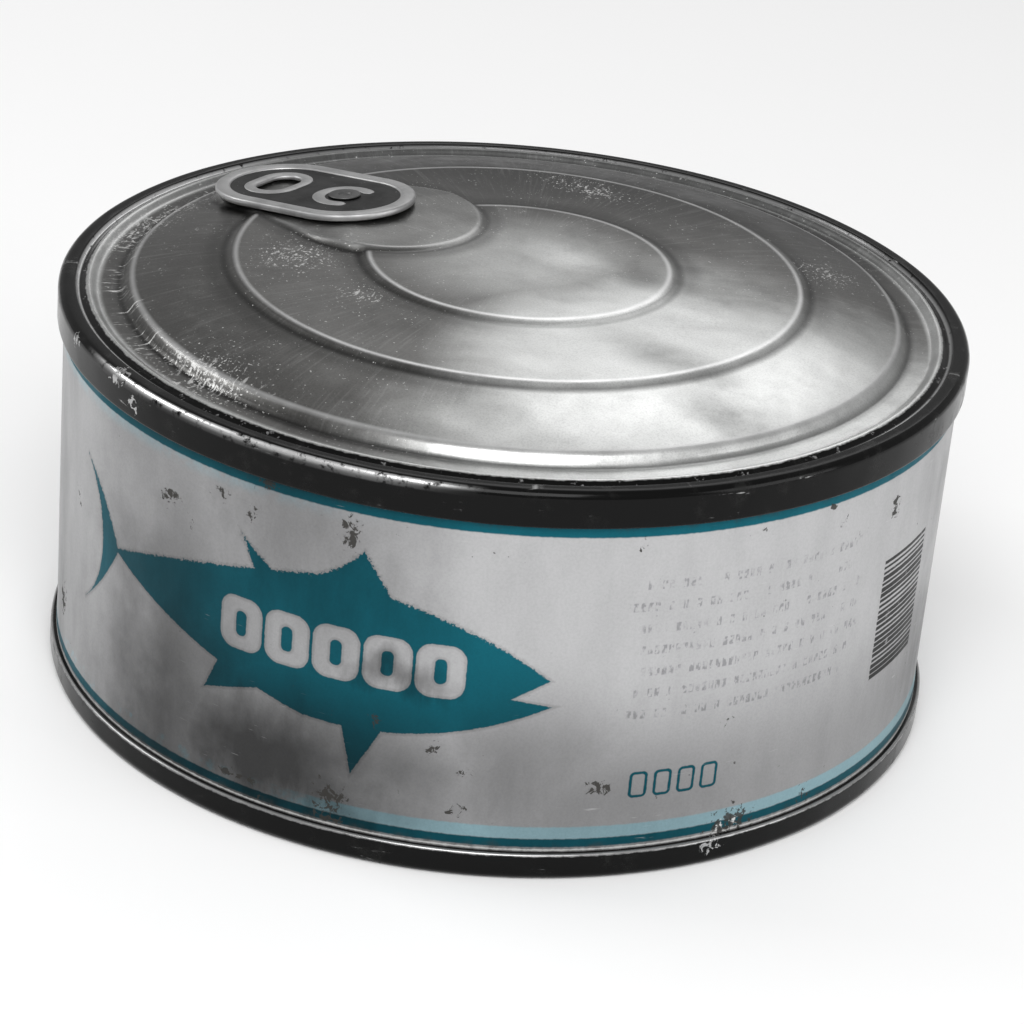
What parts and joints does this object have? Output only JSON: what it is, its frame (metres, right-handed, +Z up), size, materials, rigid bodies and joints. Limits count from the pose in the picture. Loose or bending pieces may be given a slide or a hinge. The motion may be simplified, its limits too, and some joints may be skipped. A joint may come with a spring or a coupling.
{
  "type": "tuna can",
  "caption": "Low round food can, shut, with rolled black seams, a bowed ring-pull end pressed in concentric steps, and a worn pale print with a plain teal fish.",
  "frame": {"origin": "on the can's axis, at the level of the table that it stands on", "axes": "+Z up along the can's axis; the pull tab lies on the -X side of the top; -Y is the front of the print"},
  "size_m": [0.103, 0.103, 0.0517],
  "materials": {
    "printed_wall": "worn satin print on tinplate, pale grey with teal",
    "end_metal": "satin tinplate with fine radial scratches, black lacquer on the seam",
    "tab_metal": "satin sheet metal with a dark recessed web",
    "base_lacquer": "gloss black lacquer on the seam, satin tinplate inside it"
  },
  "bodies": {
    "root": {"body": "printed_wall", "top_end": "end_metal", "tab": "tab_metal", "bottom_end": "base_lacquer"}
  },
  "joints": []
}
